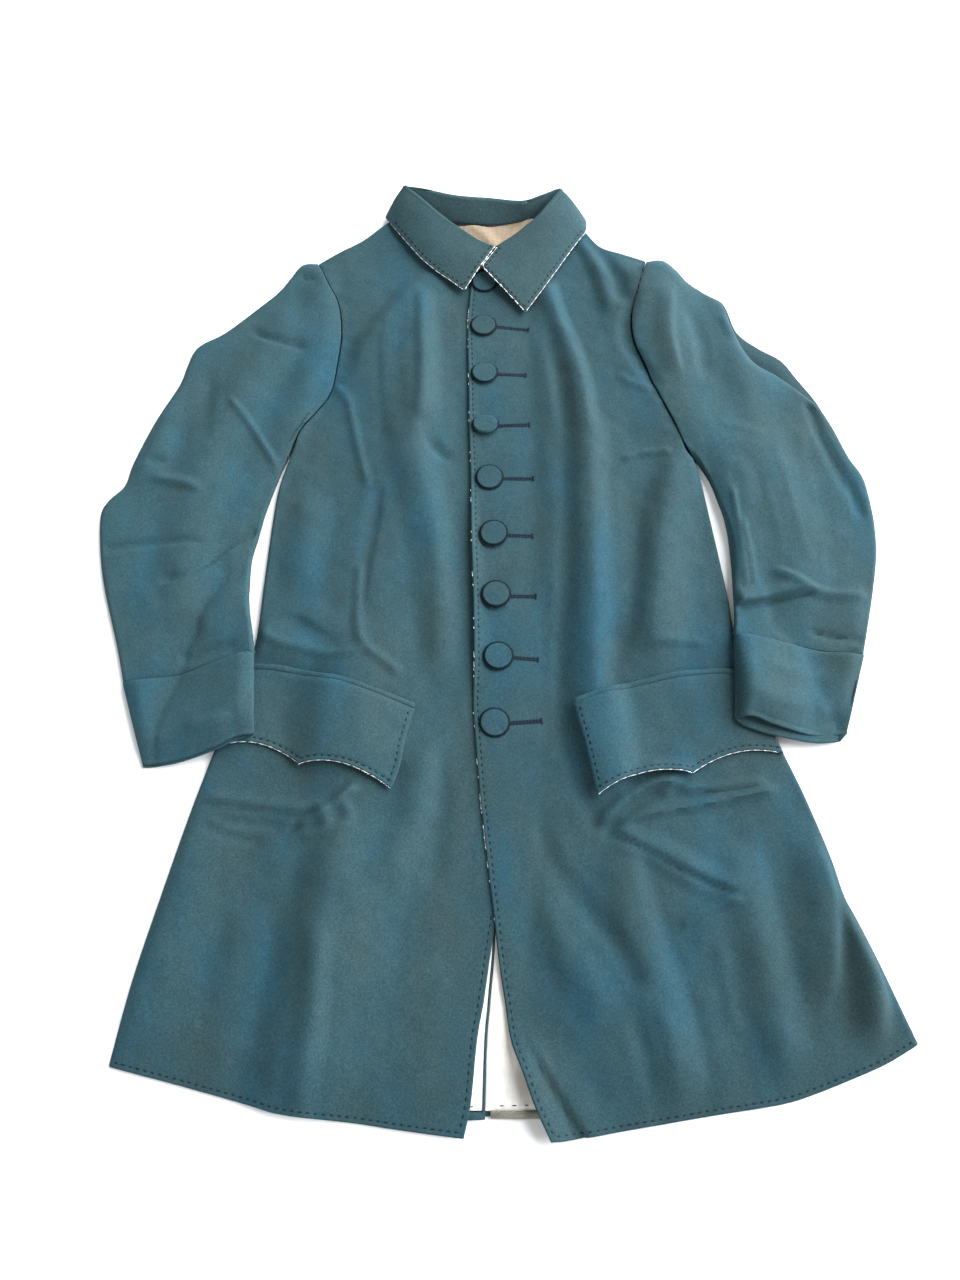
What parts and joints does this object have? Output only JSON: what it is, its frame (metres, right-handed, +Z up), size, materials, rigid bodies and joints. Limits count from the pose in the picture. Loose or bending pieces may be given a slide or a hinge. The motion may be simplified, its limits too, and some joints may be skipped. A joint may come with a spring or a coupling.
{
  "type": "frock coat",
  "caption": "Knee-length wool frock coat laid flat and buttoned, with turned-down collar, two-piece sleeves with cuffs, scalloped pocket flaps and flared skirts open below the waist.",
  "frame": {"origin": "centre of the bounding box's floor, where the coat lies on its back", "axes": "+Y from the hem to the collar, +X to the wearer's left, +Z up from the surface that the coat lies on"},
  "size_m": [0.8062, 0.9994, 0.0344],
  "materials": {
    "wool": "felted teal broadcloth with a short nap",
    "linen": "plain-woven cream linen",
    "button_cloth": "teal broadcloth stretched over a button mould"
  },
  "bodies": {
    "root": {"back_right": "wool", "back_left": "wool", "neck_lining": "linen", "skirt_lining_right": "linen", "skirt_lining_left": "linen", "front_right": "wool", "front_left": "wool", "welt_right": "wool", "flap_right": "wool", "welt_left": "wool", "flap_left": "wool", "sleeve_under_right": "wool", "sleeve_upper_right": "wool", "cuff_right": "wool", "sleeve_under_left": "wool", "sleeve_upper_left": "wool", "cuff_left": "wool", "collar": "wool", "button_1": "button_cloth", "button_2": "button_cloth", "button_3": "button_cloth", "button_4": "button_cloth", "button_5": "button_cloth", "button_6": "button_cloth", "button_7": "button_cloth", "button_8": "button_cloth", "button_9": "button_cloth"}
  },
  "joints": []
}
